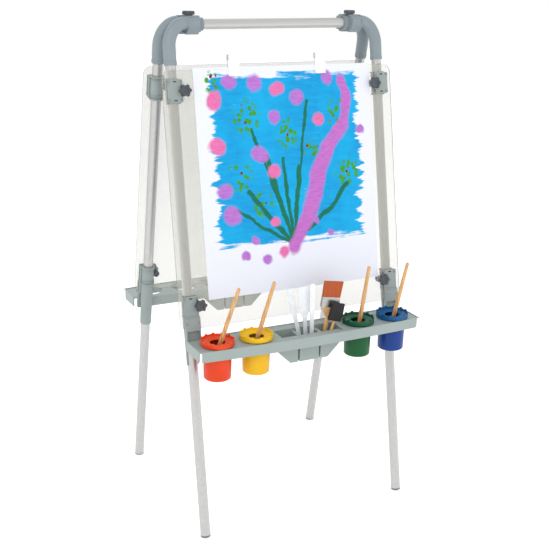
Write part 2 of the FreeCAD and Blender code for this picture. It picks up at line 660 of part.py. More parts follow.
def cap_nut(x, y, z):
    """Round moulded cap nut with a blind threaded hole, open towards -Y."""
    s = cyl(8.5, 16.0, V(x, y, z), V(0, 1, 0))
    s = s.makeFillet(2.0, [e for e in s.Edges if e.BoundBox.YMin > y + 15.9])
    return s.cut(cyl(D["stud_r"] + 0.05, 15.5, V(x, y - 1, z), V(0, 1, 0)))


# ------------------------------------------------------------ boards: tray
def tray_outline(sk, inset):
    """Straight back and sides, bowed front; inset moves every edge inwards."""
    w = D["tray_width"] / 2 - inset
    y0 = -inset
    side_y = -D["tray_side"] + inset
    front = -D["tray_depth"] + inset
    sag = side_y - front
    R = (w * w + sag * sag) / (2 * sag)
    cy = front + R
    a = math.asin(w / R)
    g = [sk.addGeometry(Part.LineSegment(V(-w, y0, 0), V(w, y0, 0)), False),
         sk.addGeometry(Part.LineSegment(V(w, y0, 0), V(w, side_y, 0)), False),
         sk.addGeometry(Part.ArcOfCircle(Part.Circle(V(0, cy, 0), V(0, 0, 1), R),
                                         -math.pi / 2 - a, -math.pi / 2 + a), False),
         sk.addGeometry(Part.LineSegment(V(-w, side_y, 0), V(-w, y0, 0)), False)]
    sk.addConstraint(Sketcher.Constraint("Coincident", g[0], 2, g[1], 1))
    sk.addConstraint(Sketcher.Constraint("Coincident", g[1], 2, g[2], 2))
    sk.addConstraint(Sketcher.Constraint("Coincident", g[2], 1, g[3], 1))
    sk.addConstraint(Sketcher.Constraint("Coincident", g[3], 2, g[0], 1))
    sk.addConstraint(Sketcher.Constraint("Horizontal", g[0]))
    sk.addConstraint(Sketcher.Constraint("Vertical", g[1]))
    sk.addConstraint(Sketcher.Constraint("Vertical", g[3]))
    c = sk.addConstraint(Sketcher.Constraint("DistanceX", g[0], 1, g[0], 2, 2 * w))
    bind(sk, c, "across", "dims.tray_width - 2 * %g" % inset)
    c = sk.addConstraint(Sketcher.Constraint("DistanceX", g[0], 1, -1, 1, w))
    bind(sk, c, "half", "dims.tray_width / 2 - %g" % inset)
    return g


CORNERS = 18.0


def tray_body(name, placement):
    b = new_body(name)
    wall = D["tray_wall"]
    s1 = sketch(b, name + "_outline")
    tray_outline(s1, 0.0)
    pad(b, s1, D["tray_skirt"], "dims.tray_skirt", True, name + "_block")
    fillet(b, name + "_front_corners", lambda q: q.XLength < 1e-4 and q.YLength < 1e-4 and q.YMin < -10, CORNERS)
    fillet(b, name + "_back_corners", lambda q: q.XLength < 1e-4 and q.YLength < 1e-4
           and q.YMin > -10 and abs(q.ZLength - D["tray_skirt"]) < 1e-3, 6.0)
    v_full = b.Tip.Shape.Volume
    # hollow from below
    s2 = sketch(b, name + "_hollow", "XY_Plane", -D["tray_skirt"])
    tray_outline(s2, wall)
    p = pocket(b, s2, D["tray_skirt"] - wall, "dims.tray_skirt - dims.tray_wall", True, name + "_hollow_cut")
    doc.recompute()
    if b.Tip.Shape.Volume > v_full - 1000:
        p.Reversed = False
        doc.recompute()
    # bead round the top
    s3 = sketch(b, name + "_bead")
    tray_outline(s3, 0.0)
    tray_outline_inner(s3, 2.6)
    pad(b, s3, D["rim_height"], "dims.rim_height", False, name + "_bead_pad")
    doc.recompute()
    # collars under the cup holes
    s4 = sketch(b, name + "_collars", "XY_Plane", -wall + 0.2)
    for x in (-D["cup_out_x"], -D["cup_in_x"], D["cup_in_x"], D["cup_out_x"]):
        circle(s4, x, -D["cup_y"], D["cup_hole_r"] + 2.4)
    pad(b, s4, 11.0, None, True, name + "_collar_pad")
    # trough and its three pockets
    s5 = sketch(b, name + "_trough_boss", "XY_Plane", -wall + 0.2)
    tw, td = D["trough_width"], D["trough_depth"]
    ty = -D["trough_back"]
    rect(s5, -tw / 2 - 2.4, ty - td - 2.4, tw / 2 + 2.4, ty + 2.4)
    pad(b, s5, 7.0, None, True, name + "_trough_pad")
    # pockets hang from the back part of the trough; the two outer ones slope in
    pw, pd = (tw - 2 * D["pocket_gap"]) / 3.0, D["pocket_reach"]
    drop = D["pocket_drop"]

    def pocket_shape(k, grow, top, low):
        x0 = -tw / 2 + k * (pw + D["pocket_gap"]) - grow
        x1 = x0 + pw + 2 * grow
        slope = 34.0
        if k == 0:
            return [(x0, top), (x1, top), (x1, low), (x0 + slope, low), (x0, low + slope)]
        if k == 2:
            return [(x0, top), (x1, top), (x1, low + slope), (x1 - slope, low), (x0, low)]
        return [(x0, top), (x1, top), (x1, low), (x0, low)]

    s6 = sketch(b, name + "_pocket_boss", "XZ_Plane", -(ty + 2.0))
    for k in range(3):
        polygon(s6, pocket_shape(k, 2.0, -8.0, -drop))
    pad(b, s6, pd + 4.0, "dims.pocket_reach + 4", False, name + "_pocket_pad")
    doc.recompute()
    v1 = b.Tip.Shape.Volume
    s7 = sketch(b, name + "_cup_holes", "XY_Plane", D["rim_height"] + 1)
    for i, x in enumerate((-D["cup_out_x"], -D["cup_in_x"], D["cup_in_x"], D["cup_out_x"])):
        circle(s7, x, -D["cup_y"], D["cup_hole_r"], "dims.cup_hole_r", "hole%s" % "abcd"[i])
    rect(s7, -tw / 2, ty - td, tw / 2, ty)
    p7 = pocket(b, s7, 9.0, None, False, name + "_holes_cut")
    doc.recompute()
    v2 = b.Tip.Shape.Volume
    s8 = sketch(b, name + "_cup_through", "XY_Plane", D["rim_height"] + 1)
    for x in (-D["cup_out_x"], -D["cup_in_x"], D["cup_in_x"], D["cup_out_x"]):
        circle(s8, x, -D["cup_y"], D["cup_hole_r"])
    pocket(b, s8, 30.0, None, False, name + "_cup_through_cut")
    doc.recompute()
    v3 = b.Tip.Shape.Volume
    s9 = sketch(b, name + "_pockets", "XZ_Plane", -ty)
    for k in range(3):
        polygon(s9, pocket_shape(k, 0.0, -4.0, -drop + 2.2))
    pocket(b, s9, pd, "dims.pocket_reach", True, name + "_pockets_cut")
    doc.recompute()
    v4 = b.Tip.Shape.Volume
    # notches for the two bracket columns in the back edge
    s10 = sketch(b, name + "_notches", "XY_Plane", D["rim_height"] + 1)
    rect(s10, -340.0, -14.2, INNER_X - TRAY_X + 19.6, 4.0)
    rect(s10, OUTER_X - TRAY_X - 19.6, -14.2, 340.0, 4.0)
    pocket(b, s10, 40.0, None, False, name + "_notches_cut")
    doc.recompute()
    v5 = b.Tip.Shape.Volume
    print(name, "volumes", [round(v) for v in (v_full, v1, v2, v3, v4, v5)])
    assert v1 > v2 > v3 > v4 > v5
    b.Placement = placement
    return b


def tray_outline_inner(sk, inset):
    """Second wire of the bead sketch."""
    w = D["tray_width"] / 2 - inset
    y0 = -inset
    side_y = -D["tray_side"] + inset
    front = -D["tray_depth"] + inset
    cr = CORNERS - inset
    sag = side_y - front
    R = (w * w + sag * sag) / (2 * sag)
    cy = front + R
    a = math.asin(w / R)
    # chamfer the two front corners inside the rounded outline
    cut = 9.0
    b2 = math.asin((w - cut) / R)
    yc = cy - R * math.cos(b2)
    pts = [V(-w, y0 - 0.0, 0), V(w, y0 - 0.0, 0), V(w, side_y + 7.0, 0), V(w - cut, yc, 0)]
    g0 = sk.addGeometry(Part.LineSegment(pts[0], pts[1]), False)
    g1 = sk.addGeometry(Part.LineSegment(pts[1], pts[2]), False)
    g2 = sk.addGeometry(Part.LineSegment(pts[2], pts[3]), False)
    g3 = sk.addGeometry(Part.ArcOfCircle(Part.Circle(V(0, cy, 0), V(0, 0, 1), R), -math.pi / 2 - b2, -math.pi / 2 + b2), False)
    g4 = sk.addGeometry(Part.LineSegment(V(-(w - cut), yc, 0), V(-w, side_y + 7.0, 0)), False)
    g5 = sk.addGeometry(Part.LineSegment(V(-w, side_y + 7.0, 0), pts[0]), False)
    for (p, q, r, s) in ((g0, 2, g1, 1), (g1, 2, g2, 1), (g2, 2, g3, 2), (g3, 1, g4, 1), (g4, 2, g5, 1), (g5, 2, g0, 1)):
        sk.addConstraint(Sketcher.Constraint("Coincident", p, q, r, s))


def panel_body(name, placement):
    b = new_body(name)
    s1 = sketch(b, name + "_outline")
    rect(s1, -D["panel_width"] / 2, -D["panel_height"] / 2, D["panel_width"] / 2, D["panel_height"] / 2,
         "dims.panel_width", "dims.panel_height")
    pad(b, s1, D["panel_thick"], "dims.panel_thick", False, name + "_pad")
    fillet(b, name + "_corners", lambda q: q.XLength < 1e-4 and q.YLength < 1e-4, D["panel_corner"], "dims.panel_corner")
    s2 = sketch(b, name + "_holes")
    mid = D["panel_top"] + D["panel_height"] / 2
    for cx, sgn in ((INNER_X - PANEL_X, 1), (OUTER_X - PANEL_X, -1)):
        for depth, zs in ((D["clamp_mid"], (-D["screw_z"], D["screw_z"])), (D["bracket_mid"], (-42.0, 18.0))):
            y = mid - depth
            circle(s2, cx + sgn * EAR, y, D["stud_r"] + 0.4)
            for sx in (-1, 1):
                for dz in zs:
                    circle(s2, cx + sx * D["screw_x"], y + dz, D["screw_r"])
    pocket(b, s2, 40, None, False, name + "_holes_cut", True)
    b.Placement = placement
    return b


for side in ("front", "rear"):
    pl = SIDES[side]["leg"]
    mid = D["panel_top"] + D["panel_height"] / 2
    panel = panel_body(side + "_panel", mul(pl, Placement(V(PANEL_X, PANEL_Y, -mid), OUT)))
    node(panel, side + "_panel")
    plates, shells, screws, nuts = [], [], [], []
    for tag, x, sgn in zip(names(side), (INNER_X, OUTER_X), (1, -1)):
        at = V(x, STACK, -D["clamp_mid"])
        turn = OUT if sgn > 0 else OUT.multiply(Rotation(V(0, 0, 1), 180))
        plates.append(clamp_plate("%s_%s_clamp_plate" % (side, tag), mul(pl, Placement(at, turn))))
        sh = doc.addObject("Part::Feature", "%s_%s_clamp_shell" % (side, tag))
        sh.Shape = clamp_shell(sgn)
        sh.Placement = mul(pl, Placement(V(x, -OFF, -D["clamp_mid"]), Rotation()))
        shells.append(sh)
        brk = feature("%s_%s_tray_bracket" % (side, tag), clean(tray_bracket(sgn)),
                      mul(pl, Placement(V(x, -OFF, -D["bracket_mid"]), Rotation())))
        slv = feature("%s_%s_bracket_sleeve" % (side, tag), clean(bracket_sleeve(sgn)),
                      mul(pl, Placement(V(x, -OFF, -D["bracket_mid"]), Rotation())))
        t0 = STACK - D["plate_thick"]
        for sx in (-1, 1):
            for sz in (-1, 1):
                screws.append(screw(x + sx * D["screw_x"], t0, -D["clamp_mid"] + sz * D["screw_z"]))
            screws.append(screw(x + sx * D["screw_x"], t0, -D["bracket_mid"] + 18.0))
            screws.append(screw(x + sx * D["screw_x"], t0 - 2.0, -D["bracket_mid"] - 42.0))
        for depth in (D["clamp_mid"], D["bracket_mid"]):
            nuts.append(cap_nut(x + sgn * EAR, -OFF - 9.0, -depth))
    compound(side + "_clamp_plates_group", plates, side + "_clamp_plates")
    compound(side + "_clamp_shells_group", shells, side + "_clamp_shells")
    feature(side + "_clamp_screws", Part.makeCompound(screws), pl)
    feature(side + "_knob_nuts", Part.makeCompound(nuts), pl)
    for tag, x, sgn in zip(names(side), (INNER_X, OUTER_X), (1, -1)):
        for word, depth in (("top", D["clamp_mid"]), ("lower", D["bracket_mid"])):
            n = "%s_%s_%s_knob" % (side, word, tag)
            k = star_knob(n, 25.0, mul(pl, Placement(V(x + sgn * EAR, STACK - D["plate_thick"] - 0.3, -depth), OUT)))
            node(k, n)
    spin = Rotation() if side == "front" else HALF
    tpl = Placement(spin.multVec(V(TRAY_X, -D["tray_back"], D["tray_top"])), spin)
    node(tray_body(side + "_tray", tpl), side + "_tray")

# --------------------------------------------------- cups, lids and brushes
TRAY_O = V(TRAY_X, -D["tray_back"], D["tray_top"])
COLOURS = (("orange", -D["cup_out_x"]), ("yellow", -D["cup_in_x"]), ("green", D["cup_in_x"]), ("blue", D["cup_out_x"]))
LEAN = {"orange": (14.6, -10.2), "yellow": (12.5, -9.0), "green": (3.5, -7.0), "blue": (6.5, -9.0)}
MOUTH = {"orange": (6.0, -4.0), "yellow": (3.0, -2.0), "green": (3.0, -4.0), "blue": (4.0, -4.0)}


def revolve(name, pts, placement, label):
    b = new_body(name)
    sk = sketch(b, name + "_profile", "XZ_Plane")
    polygon(sk, pts)
    rv = b.newObject("PartDesign::Revolution", name + "_turn")
    rv.Profile = sk
    rv.ReferenceAxis = (sk, ["V_Axis"])
    rv.Angle = 360
    doc.recompute()
    b.Placement = placement
    return node(b, label)


cw = D["cup_wall"]
for colour, x in COLOURS:
    o = TRAY_O + V(x, -D["cup_y"], 0)
    hc = D["cup_height"]
    # body hangs through the tray hole by its flange
    pts = [(0, -hc), (D["cup_base_r"] - 2.5, -hc), (D["cup_base_r"], -hc + 2.5), (D["cup_r"], 0.3), (38.8, 0.3), (38.8, 1.8),
           (36.4, 1.8), (36.4, 6.5), (D["cup_r"] - cw, 6.5), (D["cup_base_r"] - cw, -hc + 4.0),
           (D["cup_base_r"] - cw - 2.0, -hc + cw), (0, -hc + cw)]
    revolve("%s_cup" % colour, pts, Placement(o, Rotation()), "%s_paint_cup" % colour)
    # lid: skirt over the cup neck, raised rim, dished top with a round mouth
    lr = D["lid_r"]
    pts = [(36.8, 2.1), (lr - 1.0, 2.1), (lr, 3.1), (lr, 16.0), (lr - 1.2, 17.0), (lr - 3.0, 17.0), (lr - 3.8, 16.0), (lr - 4.6, 10.5),
           (22.0, 7.9), (20.0, 6.9), (19.0, 6.9), (19.0, 5.2), (20.4, 5.2), (22.4, 6.8), (36.8, 6.8)]
    b = new_body("%s_lid" % colour)
    sk = sketch(b, b.Name + "_profile", "XZ_Plane")
    polygon(sk, pts)
    rv = b.newObject("PartDesign::Revolution", b.Name + "_turn")
    rv.Profile = sk
    rv.ReferenceAxis = (sk, ["V_Axis"])
    rv.Angle = 360
    doc.recompute()
    vr = b.Tip.Shape.Volume
    # brush rests: notches round the raised rim
    s2 = sketch(b, b.Name + "_notch", "XY_Plane", 18.5)
    rect(s2, 30.0, -7.5, 46.0, 7.5)
    p = pocket(b, s2, 4.9, None, False, b.Name + "_notch_cut")
    doc.recompute()
    pat = b.newObject("PartDesign::PolarPattern", b.Name + "_notches")
    pat.Originals = [p]
    pat.Axis = (plane(b, "Z_Axis"), [""])
    pat.Angle = 360
    pat.Occurrences = 12
    b.Tip = pat
    doc.recompute()
    assert pat.Shape.Volume < vr - 50
    b.Placement = Placement(o, Rotation(V(0, 0, 1), 7.0))
    node(b, "%s_cup_lid" % colour)
    # round brush: bristles down in the cup, leaning in the mouth
    lean_x, lean_y = LEAN[colour]
    d = V(math.tan(math.radians(lean_x)), math.tan(math.radians(lean_y)), 1.0)
    d.normalize()
    mx, my = MOUTH[colour]
    reach = hc + 2.5
    foot = V(mx - reach * d.x / d.z, my - reach * d.y / d.z, -hc + cw + 0.9)
    L = 244.0
    parts = [Part.makeCone(1.4, 5.0, 18.0, V(0, 0, 0), V(0, 0, 1)),
             Part.makeCone(5.2, 5.4, 24.0, V(0, 0, 18.0), V(0, 0, 1)),
             Part.makeCone(5.1, 5.8, 60.0, V(0, 0, 42.0), V(0, 0, 1)),
             Part.makeCone(5.8, 4.4, L - 106.4, V(0, 0, 102.0), V(0, 0, 1)),
             Part.makeSphere(4.4, V(0, 0, L - 4.4))]
    sh = parts[0].multiFuse(parts[1:])
    rot = Rotation(V(0, 0, 1), d)
    feature("%s_cup_brush" % colour, clean(sh), Placement(o + foot, rot), "%s_cup_brush" % colour)

# ------------------------------------------------------- tools in the trough
tw, td = D["trough_width"], D["trough_depth"]
ty = -D["trough_back"]
pw = (tw - 2 * D["pocket_gap"]) / 3.0
floor_z = -D["pocket_drop"] + 2.2 + 1.8


def blade(w, length, t, neck):
    """Flat plastic spreader: wide paddle end up, narrower handle down."""
    pts = [V(-neck / 2, 0, 0), V(neck / 2, 0, 0), V(neck / 2, 0, length * 0.55), V(w / 2, 0, length * 0.68),
           V(w / 2, 0, length), V(-w / 2, 0, length), V(-w / 2, 0, length * 0.68), V(-neck / 2, 0, length * 0.55)]
    s = Part.Face(Part.makePolygon(pts + pts[:1])).extrude(V(0, t, 0))
    ed = [e for e in s.Edges if abs(e.BoundBox.YLength - t) < 1e-5]
    return s.makeFillet(2.0, ed)


spreaders = []
for dx, yy, w, lng, lean in ((-2.0, -10.0, 15.0, 186.0, -14.0), (2.0, -19.0, 32.0, 190.0, -4.0), (12.0, -28.0, 14.0, 196.0, -1.0)):
    s = blade(w, lng, 2.4, 11.0)
    s.rotate(V(0, 0, 0), V(0, 1, 0), lean)
    s.translate(V(dx, ty + yy, floor_z))
    spreaders.append(s)
feature("plastic_spreaders", Part.makeCompound(spreaders), Placement(TRAY_O, Rotation()))

# flat bristle brush, bristles up
def slab(w0, w1, t0, t1, z0, z1):
    """Block that changes its width and its thickness from z0 to z1."""
    rings = []
    for w, t, z in ((w0, t0, z0), (w1, t1, z1)):
        rings.append(Part.Wire(Part.makePolygon([V(-w, -t, z), V(w, -t, z), V(w, t, z), V(-w, t, z), V(-w, -t, z)])))
    return Part.makeLoft(rings, True)


fb = Part.makeCone(4.2, 6.2, 78.0, V(0, 0, 0), V(0, 0, 1))
fb = fb.fuse(Part.makeCone(6.2, 5.2, 30.0, V(0, 0, 78.0), V(0, 0, 1)))
fb = fb.multiFuse([slab(6.0, 24.0, 4.0, 4.0, 100.0, 126.0), slab(26.0, 26.0, 4.3, 4.3, 125.5, 152.0), slab(25.4, 27.5, 3.9, 3.0, 151.5, 194.0)])
feature("flat_brush", clean(fb), Placement(TRAY_O + V(45.5, ty - 16.0, floor_z), Rotation(V(0, 1, 0), 9.5)))

# foam brush: wooden dowel, wedge of foam up
fo = cyl(3.8, 96.0, V(0, 0, 0), V(0, 0, 1))
core = box(-4.0, 4.0, -1.5, 1.5, 90.0, 104.0)
foam = prism([V(0, -4.8, 94.0), V(0, 4.8, 94.0), V(0, 4.8, 118.0), V(0, 0.8, 142.0), V(0, -0.8, 142.0), V(0, -4.8, 118.0)], V(-18.0, 0, 0), V(36.0, 0, 0))
fo = fo.multiFuse([core, foam])
feature("foam_brush", clean(fo), Placement(TRAY_O + V(47.0, ty - 31.5, floor_z), Rotation(V(0, 1, 0), 16.0)))

# ------------------------------------------------------------ paper and clips
PAPER_X = 10.5
paper = new_body("painting_paper")
s1 = sketch(paper, "paper_outline")
rect(s1, -D["paper_width"] / 2, -D["paper_height"] / 2, D["paper_width"] / 2, D["paper_height"] / 2,
     "dims.paper_width", "dims.paper_height")
pad(paper, s1, D["paper_thick"], "dims.paper_thick", False, "paper_pad")
pl = SIDES["front"]["leg"]
paper.Placement = mul(pl, Placement(V(PAPER_X, STACK - 0.05, -(D["panel_top"] - 3.0 + D["paper_height"] / 2)), OUT))
node(paper, "painting_paper")


def clip_shape():
    """Bent strip seen from the side: loop above the panel edge, two leaves
    gripping the panel and the paper. Y = 0 is the panel back, -Y outward."""
    w = D["clip_width"]
    t = 2.0
    pt, pp = D["panel_thick"], D["paper_thick"]
    grip_o, grip_i = -(pt + pp + 0.15), 0.1
    yc = (grip_o + grip_i) / 2
    R = 9.5
    zc = 22.0
    # outer and inner outline of the loop as a ring, open towards the panel
    ring = cyl(R, w, V(-w / 2, yc, zc), V(1, 0, 0)).cut(cyl(R - t, w + 2, V(-w / 2 - 1, yc, zc), V(1, 0, 0)))
    ring = ring.cut(box(-w, w, yc - 2.2, yc + 2.2, zc - R - 2, zc - 3))
    def leaf(y0, sgn, length):
        ring_y = yc + sgn * 2.2
        ring_z = zc - math.sqrt((R - t / 2) ** 2 - 2.2 ** 2)
        pts = [V(-w / 2, ring_y, ring_z - 1.0), V(-w / 2, ring_y + sgn * t * 1.2, ring_z + 1.2),
               V(-w / 2, y0 + sgn * t, 3.0), V(-w / 2, y0 + sgn * t, -length + 4), V(-w / 2, y0 + sgn * (t + 2.2), -length),
               V(-w / 2, y0 + sgn * 2.2, -length - 0.6), V(-w / 2, y0, -length + 3.5), V(-w / 2, y0, 3.0)]
        return Part.Face(Part.makePolygon(pts + pts[:1])).extrude(V(w, 0, 0))
    s = ring.multiFuse([leaf(grip_o, -1, 22.0), leaf(grip_i, 1, 20.0)])
    return s.removeSplitter()


for n, x in (("left_paper_clip", -128.0), ("right_paper_clip", 113.0)):
    feature(n, clean(clip_shape()), mul(pl, Placement(V(x, PANEL_Y, -D["panel_top"] + 3.2), Rotation())))

# ------------------------------------------------------------ check and write
doc.recompute()
bad = [o.Label for o in doc.Objects if any(w in o.State for w in ("Invalid", "Error"))]
if bad:
    raise SystemExit("failed objects: %s" % bad)
seen = set()
for label, obj in nodes:
    sh = obj.Shape
    if sh.isNull() or not sh.isValid() or not sh.Solids:
        raise SystemExit("bad shape: " + label)
    if label in seen or obj.Label != label:
        raise SystemExit("label clash: %s %s" % (label, obj.Label))
    seen.add(label)
for label, obj in nodes:
    obj.Shape.exportStep("parts/%s.step" % label)
print(len(nodes), "nodes")
for label, obj in nodes:
    bb = obj.Shape.BoundBox
    print("%-28s solids %2d vol %9.0f  x %7.1f %7.1f  y %7.1f %7.1f  z %7.1f %7.1f" % (
        label, len(obj.Shape.Solids), obj.Shape.Volume, bb.XMin, bb.XMax, bb.YMin, bb.YMax, bb.ZMin, bb.ZMax))
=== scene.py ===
import math
import random

import bpy
from mathutils import Matrix, Vector


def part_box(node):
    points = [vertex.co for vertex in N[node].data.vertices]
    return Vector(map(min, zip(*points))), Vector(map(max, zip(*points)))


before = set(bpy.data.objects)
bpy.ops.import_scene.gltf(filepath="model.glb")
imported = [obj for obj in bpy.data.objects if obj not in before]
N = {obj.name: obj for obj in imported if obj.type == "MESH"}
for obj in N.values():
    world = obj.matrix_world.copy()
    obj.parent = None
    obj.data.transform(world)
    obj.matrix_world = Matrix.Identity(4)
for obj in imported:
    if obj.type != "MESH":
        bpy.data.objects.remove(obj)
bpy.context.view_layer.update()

TH = math.radians(10.4)
HZ = 1.260
rng = random.Random(11)


# ------------------------------------------------------------ node helpers
class Mat:
    """Small builder for a node material around one Principled shader."""

    def __init__(self, name):
        self.m = bpy.data.materials.new(name)
        self.m.use_nodes = True
        self.t = self.m.node_tree
        self.t.nodes.clear()
        self.out = self.t.nodes.new("ShaderNodeOutputMaterial")
        self.p = self.t.nodes.new("ShaderNodeBsdfPrincipled")
        self.t.links.new(self.p.outputs[0], self.out.inputs[0])
        tc = self.t.nodes.new("ShaderNodeTexCoord")
        self.pos = tc.outputs["Object"]

    def n(self, kind, **inputs):
        node = self.t.nodes.new(kind)
        for key, value in inputs.items():
            if key.startswith("_"):
                setattr(node, key[1:], value)
                continue
            sock = node.inputs[int(key[1:])] if key[0] == "i" and key[1:].isdigit() else node.inputs[key.replace("_", " ")]
            if isinstance(value, bpy.types.NodeSocket):
                self.t.links.new(value, sock)
            else:
                sock.default_value = value
        return node

    def scaled(self, scale, rot=(0, 0, 0), loc=(0, 0, 0)):
        return self.n("ShaderNodeMapping", Vector=self.pos, Scale=scale, Rotation=rot, Location=loc).outputs[0]

    def noise(self, scale, detail=3.0, rough=0.55, vector=None, distortion=0.0):
        return self.n("ShaderNodeTexNoise", Vector=vector or self.pos, Scale=scale, Detail=detail,
                      Roughness=rough, Distortion=distortion).outputs["Fac"]

    def ramp(self, fac, stops):
        r = self.n("ShaderNodeValToRGB", i0=fac)
        el = r.color_ramp.elements
        while len(el) > 1:
            el.remove(el[-1])
        el[0].position, el[0].color = stops[0][0], col(stops[0][1])
        for pos, c in stops[1:]:
            e = el.new(pos)
            e.color = col(c)
        return r.outputs[0]

    def mix(self, fac, a, b, blend="MIX"):
        m = self.n("ShaderNodeMix", _data_type="RGBA", _blend_type=blend)
        for sock, value in ((m.inputs[0], fac), (m.inputs[6], a), (m.inputs[7], b)):
            if isinstance(value, bpy.types.NodeSocket):
                self.t.links.new(value, sock)
            elif isinstance(value, (tuple, list)):
                sock.default_value = col(value)
            else:
                sock.default_value = value
        return m.outputs[2]

    def math(self, op, a, b=0.0, c=0.0, clamp=False):
        m = self.n("ShaderNodeMath", _operation=op, _use_clamp=clamp)
        for i, value in enumerate((a, b, c)):
            if isinstance(value, bpy.types.NodeSocket):
                self.t.links.new(value, m.inputs[i])
            else:
                m.inputs[i].default_value = value
        return m.outputs[0]

    def rng(self, x, a, b, c, d):
        m = self.n("ShaderNodeMapRange", i0=x, i1=a, i2=b, i3=c, i4=d)
        return m.outputs[0]

    def xyz(self, vector=None):
        s = self.n("ShaderNodeSeparateXYZ", i0=vector or self.pos)
        return s.outputs

    def set(self, **inputs):
        for key, value in inputs.items():
            sock = self.p.inputs[key.replace("_", " ")]
            if isinstance(value, bpy.types.NodeSocket):
                self.t.links.new(value, sock)
            elif isinstance(value, (tuple, list)) and sock.type == "RGBA":
                sock.default_value = col(value)
            else:
                sock.default_value = value
        return self

    def bump(self, height, strength=0.2, distance=0.001):
        b = self.n("ShaderNodeBump", Height=height, Strength=strength, Distance=distance)
        self.t.links.new(b.outputs[0], self.p.inputs["Normal"])
        return self


def col(c):
    return tuple(c) if len(c) == 4 else (c[0], c[1], c[2], 1.0)


def srgb(r, g, b):
    def f(v):
        v /= 255.0
        return v / 12.92 if v <= 0.04045 else ((v + 0.055) / 1.055) ** 2.4
    return (f(r), f(g), f(b))


def times(c, k):
    return tuple(min(1.0, v * k) for v in c)


# --------------------------------------------------------------- materials
def moulded(name, c, rough=0.42, grain=900.0, vary=0.06, coat=0.0, sub=0.0, bump=0.08):
    """Injection moulded plastic: faint flow variation, fine spark-eroded grain."""
    m = Mat(name)
    flow = m.noise(9.0, 4.0, 0.6)
    fine = m.noise(grain, 2.0, 0.5)
    base = m.ramp(flow, [(0.3, times(c, 1.0 - vary)), (0.72, times(c, 1.0 + vary))])
    m.set(Base_Color=base, Roughness=m.rng(fine, 0.3, 0.7, rough - 0.05, rough + 0.08))
    m.p.inputs["Specular IOR Level"].default_value = 0.45
    if coat:
        m.p.inputs["Coat Weight"].default_value = coat
        m.p.inputs["Coat Roughness"].default_value = 0.12
    if sub:
        m.p.inputs["Subsurface Weight"].default_value = sub
        m.p.inputs["Subsurface Radius"].default_value = (0.01, 0.008, 0.006)
        m.p.inputs["Subsurface Scale"].default_value = 0.3
    return m.bump(fine, bump, 0.0004).m


def tube(name, direction):
    """Drawn aluminium: long fine lines along the tube and soft handling marks."""
    m = Mat(name)
    if direction == "x":
        v = m.scaled((3.0, 700.0, 700.0))
    else:
        v = m.scaled((700.0, 700.0, 3.0), rot=(direction, 0, 0))
    lines = m.noise(1.0, 3.0, 0.6, v)
    marks = m.noise(14.0, 3.0, 0.6)
    base = m.mix(lines, srgb(160, 160, 158), srgb(214, 214, 214))
    base = m.mix(m.rng(marks, 0.35, 0.75, 0.0, 0.25), base, srgb(196, 193, 188))
    m.set(Base_Color=base, Metallic=0.8, Roughness=m.rng(lines, 0.2, 0.8, 0.30, 0.46))
    return m.bump(lines, 0.10, 0.0003).m


ELBOW = srgb(128, 140, 146)
TRAY = srgb(150, 162, 159)
mat_elbow = moulded("elbow_grey", ELBOW, 0.40, 800.0, 0.05)
mat_fitting = moulded("fitting_grey", srgb(142, 153, 152), 0.42, 800.0, 0.05)
mat_tray = moulded("tray_grey", TRAY, 0.44, 700.0, 0.04)
mat_foot = moulded("foot_grey", srgb(96, 101, 104), 0.5, 700.0, 0.06)
mat_tube_x = tube("tube_cross", "x")
mat_tube_f = tube("tube_front", TH)
mat_tube_r = tube("tube_rear", -TH)


def knob_material():
    m = Mat("knob_charcoal")
    fine = m.noise(1200.0, 2.0, 0.5)
    flow = m.noise(40.0, 3.0, 0.6)
    base = m.ramp(flow, [(0.3, srgb(58, 61, 68)), (0.75, srgb(80, 84, 92))])
    m.set(Base_Color=base, Roughness=m.rng(fine, 0.3, 0.7, 0.40, 0.55))
    return m.bump(fine, 0.12, 0.0004).m


def steel_material():
    m = Mat("zinc_steel")
    grain = m.noise(600.0, 4.0, 0.6)
    base = m.ramp(grain, [(0.3, srgb(120, 120, 118)), (0.7, srgb(190, 188, 184))])
    m.set(Base_Color=base, Metallic=1.0, Roughness=m.rng(grain, 0.2, 0.8, 0.28, 0.5))
    return m.bump(grain, 0.1, 0.0002).m


def brass_material():
    m = Mat("insert_brass")
    grain = m.noise(900.0, 3.0, 0.6)
    base = m.ramp(grain, [(0.3, srgb(150, 120, 60)), (0.7, srgb(205, 175, 105))])
    m.set(Base_Color=base, Metallic=1.0, Roughness=m.rng(grain, 0.2, 0.8, 0.3, 0.45))
    return m.bump(grain, 0.1, 0.0002).m


def panel_material():
    """Clear sheet: see-through face on, denser and greener along the cut edge,
    with very fine wipe marks in the gloss."""
    m = Mat("clear_sheet")
    wipe = m.noise(1.0, 3.0, 0.6, m.scaled((30.0, 4.0, 260.0)))
    haze = m.noise(5.0, 3.0, 0.55)
    lw = m.n("ShaderNodeLayerWeight", Blend=0.35)
    tint = m.mix(haze, srgb(186, 186, 176), srgb(198, 198, 188))
    geo = m.n("ShaderNodeNewGeometry")
    nrm = m.n("ShaderNodeVectorMath", _operation="ABSOLUTE", i0=geo.outputs["True Normal"]).outputs[0]
    nx, ny, nz = m.n("ShaderNodeSeparateXYZ", i0=nrm).outputs
    edge = m.math("LESS_THAN", ny, 0.8)
    base = m.mix(edge, tint, srgb(104, 110, 106))
    face_a = m.rng(lw.outputs["Facing"], 0.0, 1.0, 0.23, 0.52)
    alpha = m.math("MAXIMUM", face_a, m.math("MULTIPLY", edge, 0.85))
    m.set(Base_Color=base, Alpha=alpha, Roughness=m.rng(wipe, 0.3, 0.8, 0.05, 0.12))
    m.p.inputs["IOR"].default_value = 1.49
    m.bump(wipe, 0.02, 0.0002)
    return m.m


